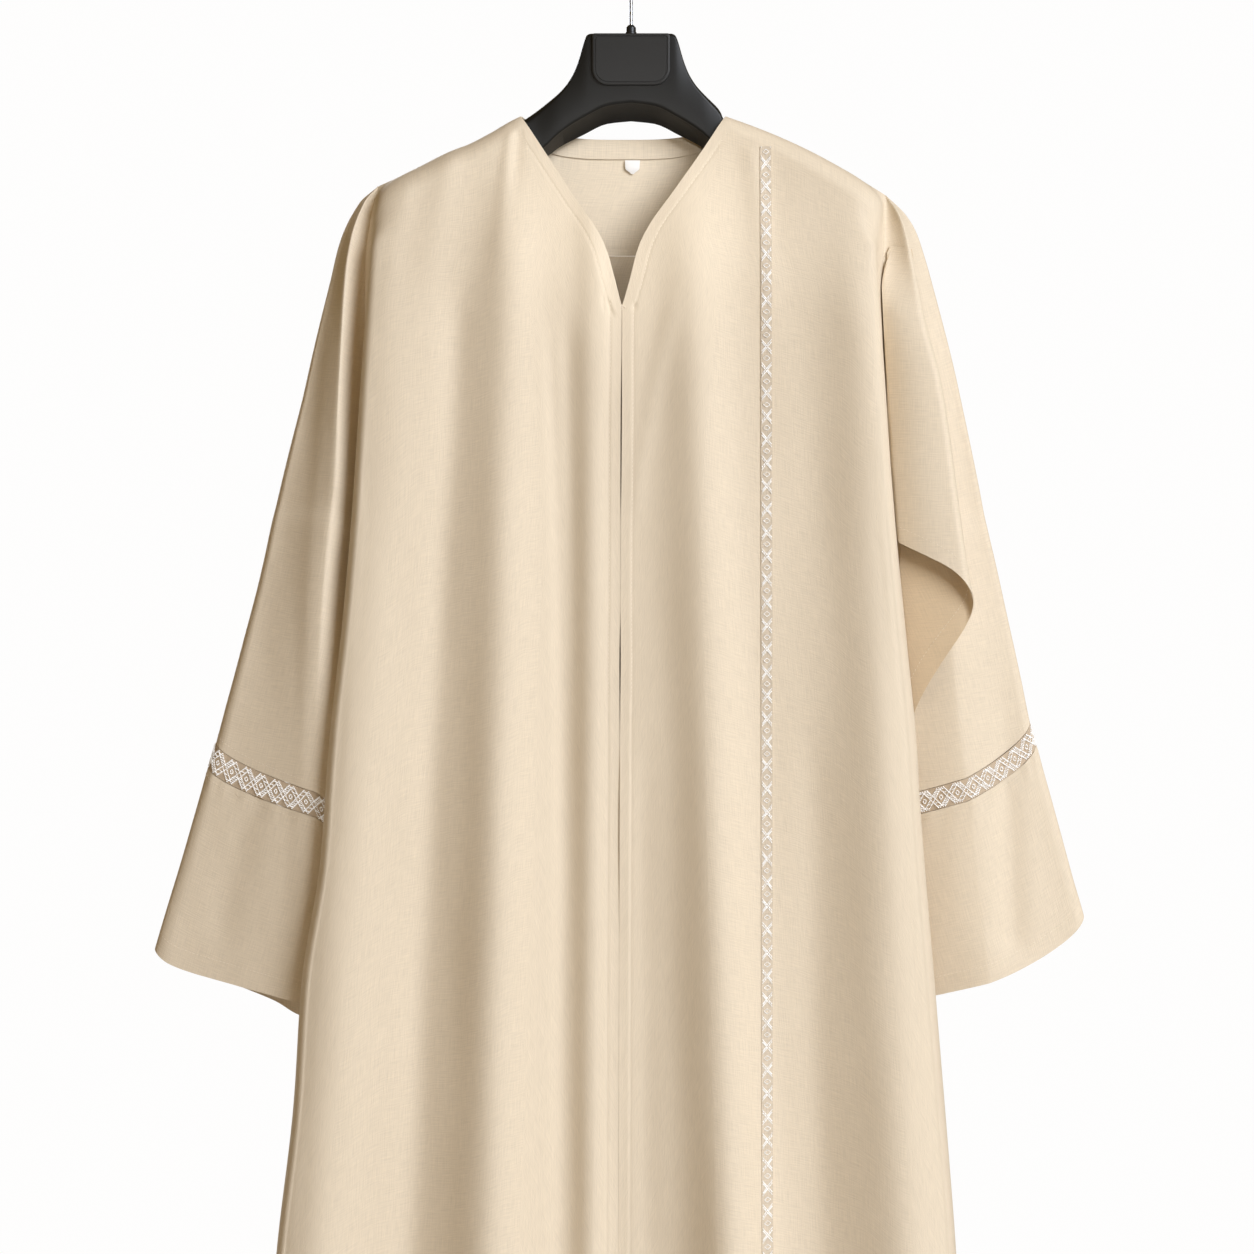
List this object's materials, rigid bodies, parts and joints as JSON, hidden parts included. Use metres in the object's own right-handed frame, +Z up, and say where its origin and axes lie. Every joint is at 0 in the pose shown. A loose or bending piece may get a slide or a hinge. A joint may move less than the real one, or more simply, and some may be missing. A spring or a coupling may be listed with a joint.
{
  "type": "abaya cloak on a hanger",
  "caption": "Open-front linen abaya cloak with wide cuffed sleeves and beaded braid bands, hanging on a wide-shouldered plastic hanger with a wire hook.",
  "frame": {"origin": "inside top of the hanger's hook, where it rests on a rail", "axes": "+Z up, -Y towards the garment's front, -X towards the wearer's right"},
  "size_m": [0.7916, 0.1678, 1.568],
  "materials": {
    "cloth": "sand-coloured linen-look plain weave with a soft sheen",
    "braid": "silver-white beads on a pale net ground",
    "label": "blank woven satin loop",
    "hanger_plastic": "moulded black, semi-matte",
    "plate_plastic": "moulded dark grey, satin, bare",
    "steel": "plated wire"
  },
  "bodies": {
    "root": {"front_right": "cloth", "front_left": "cloth", "back_yoke": "cloth", "back_skirt": "cloth", "neck_facing": "cloth", "neck_label": "label", "sleeve_right_upper": "cloth", "sleeve_right_trim": "braid", "sleeve_right_cuff": "cloth", "sleeve_left_upper": "cloth", "sleeve_left_trim": "braid", "sleeve_left_cuff": "cloth", "sleeve_left_flap": "cloth", "front_trim": "braid", "hanger_body": "hanger_plastic", "hanger_plate": "plate_plastic", "hanger_collar": "steel", "hanger_hook": "steel"}
  },
  "joints": []
}
